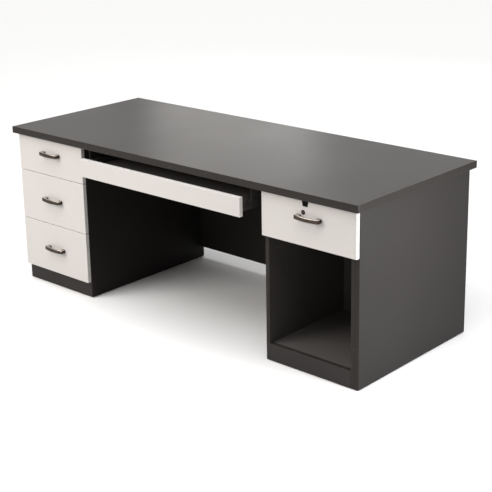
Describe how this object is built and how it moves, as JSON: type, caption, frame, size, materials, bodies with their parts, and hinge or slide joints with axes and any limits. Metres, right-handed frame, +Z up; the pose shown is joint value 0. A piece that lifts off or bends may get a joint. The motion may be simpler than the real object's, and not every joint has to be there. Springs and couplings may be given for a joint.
{
  "type": "computer desk",
  "caption": "Double-pedestal computer desk with a pull-out keyboard tray, a stack of drawers on the left, and a locking drawer over an open computer bay on the right.",
  "frame": {"origin": "on the floor, under the centre of the outer box of the whole desk, tray and handles as they stand", "axes": "+Z up, +X along the desk to the right of the person sitting at it, +Y from that person towards the modesty panel"},
  "size_m": [2, 0.838, 0.75],
  "materials": {
    "desktop_board": "satin melamine",
    "edge_band": "satin",
    "charcoal_board": "satin melamine",
    "back_board": "matt",
    "white_board": "satin melamine",
    "drawer_board": "matt melamine",
    "drawer_bottom_board": "matt",
    "handle_metal": "antique nickel",
    "lock_metal": "dark nickel",
    "zinc_plated_steel": "zinc plated",
    "black_painted_steel": "satin",
    "black_plastic": "matt"
  },
  "bodies": {
    "root": {"desktop": "desktop_board", "desktop_edge_bands": "edge_band", "left_pedestal_outer_side": "charcoal_board", "left_pedestal_inner_side": "charcoal_board", "left_pedestal_back": "back_board", "left_pedestal_bottom": "charcoal_board", "left_pedestal_plinth": "charcoal_board", "right_pedestal_inner_side": "charcoal_board", "right_pedestal_outer_side": "charcoal_board", "right_pedestal_side_liner": "charcoal_board", "right_pedestal_back": "back_board", "right_pedestal_plinth": "charcoal_board", "computer_bay_back": "charcoal_board", "computer_bay_floor": "charcoal_board", "top_rails": "charcoal_board", "modesty_panel": "charcoal_board", "floor_glides": "black_plastic", "cam_fittings": "zinc_plated_steel", "top_screws": "zinc_plated_steel", "drawer_slide_cabinet_members": "zinc_plated_steel", "tray_slide_cabinet_members": "black_painted_steel", "tray_hangers": "black_painted_steel", "lock_strike": "zinc_plated_steel"},
    "tray": {"tray_front": "white_board", "tray_board": "charcoal_board", "tray_sides": "charcoal_board", "tray_back": "charcoal_board", "tray_slide_tray_members": "black_painted_steel"},
    "tray_slide_middles": {"tray_slide_middle_members": "black_painted_steel"},
    "left_top_drawer": {"left_top_drawer_front": "white_board", "left_top_drawer_sides": "drawer_board", "left_top_drawer_back": "drawer_board", "left_top_drawer_bottom": "drawer_bottom_board", "left_top_drawer_handle": "handle_metal", "left_top_drawer_slide_members": "zinc_plated_steel"},
    "left_top_slide_middles": {"left_top_slide_middle_members": "zinc_plated_steel"},
    "left_middle_drawer": {"left_middle_drawer_front": "white_board", "left_middle_drawer_sides": "drawer_board", "left_middle_drawer_back": "drawer_board", "left_middle_drawer_bottom": "drawer_bottom_board", "left_middle_drawer_handle": "handle_metal", "left_middle_drawer_slide_members": "zinc_plated_steel"},
    "left_middle_slide_middles": {"left_middle_slide_middle_members": "zinc_plated_steel"},
    "left_bottom_drawer": {"left_bottom_drawer_front": "white_board", "left_bottom_drawer_sides": "drawer_board", "left_bottom_drawer_back": "drawer_board", "left_bottom_drawer_bottom": "drawer_bottom_board", "left_bottom_drawer_handle": "handle_metal", "left_bottom_drawer_slide_members": "zinc_plated_steel"},
    "left_bottom_slide_middles": {"left_bottom_slide_middle_members": "zinc_plated_steel"},
    "right_drawer": {"right_drawer_front": "white_board", "right_drawer_sides": "drawer_board", "right_drawer_back": "drawer_board", "right_drawer_bottom": "drawer_bottom_board", "right_drawer_handle": "handle_metal", "right_drawer_slide_members": "zinc_plated_steel", "lock_housing": "lock_metal", "lock_guard_plate": "black_plastic"},
    "right_slide_middles": {"right_slide_middle_members": "zinc_plated_steel"},
    "lock": {"lock_plug": "zinc_plated_steel"}
  },
  "joints": [
    {"name": "tray_slide", "type": "slide", "parent": "root", "child": "tray", "axis": [0, -1, 0], "range_m": [-0.058, 0.242]},
    {"name": "tray_middle_slide", "type": "slide", "parent": "root", "child": "tray_slide_middles", "axis": [0, -1, 0], "range_m": [-0.029, 0.121]},
    {"name": "left_top_drawer_slide", "type": "slide", "parent": "root", "child": "left_top_drawer", "axis": [0, -1, 0], "range_m": [0, 0.42]},
    {"name": "left_top_middle_slide", "type": "slide", "parent": "root", "child": "left_top_slide_middles", "axis": [0, -1, 0], "range_m": [0, 0.21]},
    {"name": "left_middle_drawer_slide", "type": "slide", "parent": "root", "child": "left_middle_drawer", "axis": [0, -1, 0], "range_m": [0, 0.42]},
    {"name": "left_middle_middle_slide", "type": "slide", "parent": "root", "child": "left_middle_slide_middles", "axis": [0, -1, 0], "range_m": [0, 0.21]},
    {"name": "left_bottom_drawer_slide", "type": "slide", "parent": "root", "child": "left_bottom_drawer", "axis": [0, -1, 0], "range_m": [0, 0.42]},
    {"name": "left_bottom_middle_slide", "type": "slide", "parent": "root", "child": "left_bottom_slide_middles", "axis": [0, -1, 0], "range_m": [0, 0.21]},
    {"name": "right_drawer_slide", "type": "slide", "parent": "root", "child": "right_drawer", "axis": [0, -1, 0], "range_m": [0, 0.42]},
    {"name": "right_middle_slide", "type": "slide", "parent": "root", "child": "right_slide_middles", "axis": [0, -1, 0], "range_m": [0, 0.21]},
    {"name": "lock_turn", "type": "hinge", "parent": "right_drawer", "child": "lock", "pos_m": [0.7295, -0.334, 0.668], "axis": [0, 1, 0], "range_deg": [0, 90]}
  ],
  "couplings": [
    {"joint": "tray_middle_slide", "follows": "tray_slide", "ratio": 0.5},
    {"joint": "left_top_middle_slide", "follows": "left_top_drawer_slide", "ratio": 0.5},
    {"joint": "left_middle_middle_slide", "follows": "left_middle_drawer_slide", "ratio": 0.5},
    {"joint": "left_bottom_middle_slide", "follows": "left_bottom_drawer_slide", "ratio": 0.5},
    {"joint": "right_middle_slide", "follows": "right_drawer_slide", "ratio": 0.5}
  ]
}
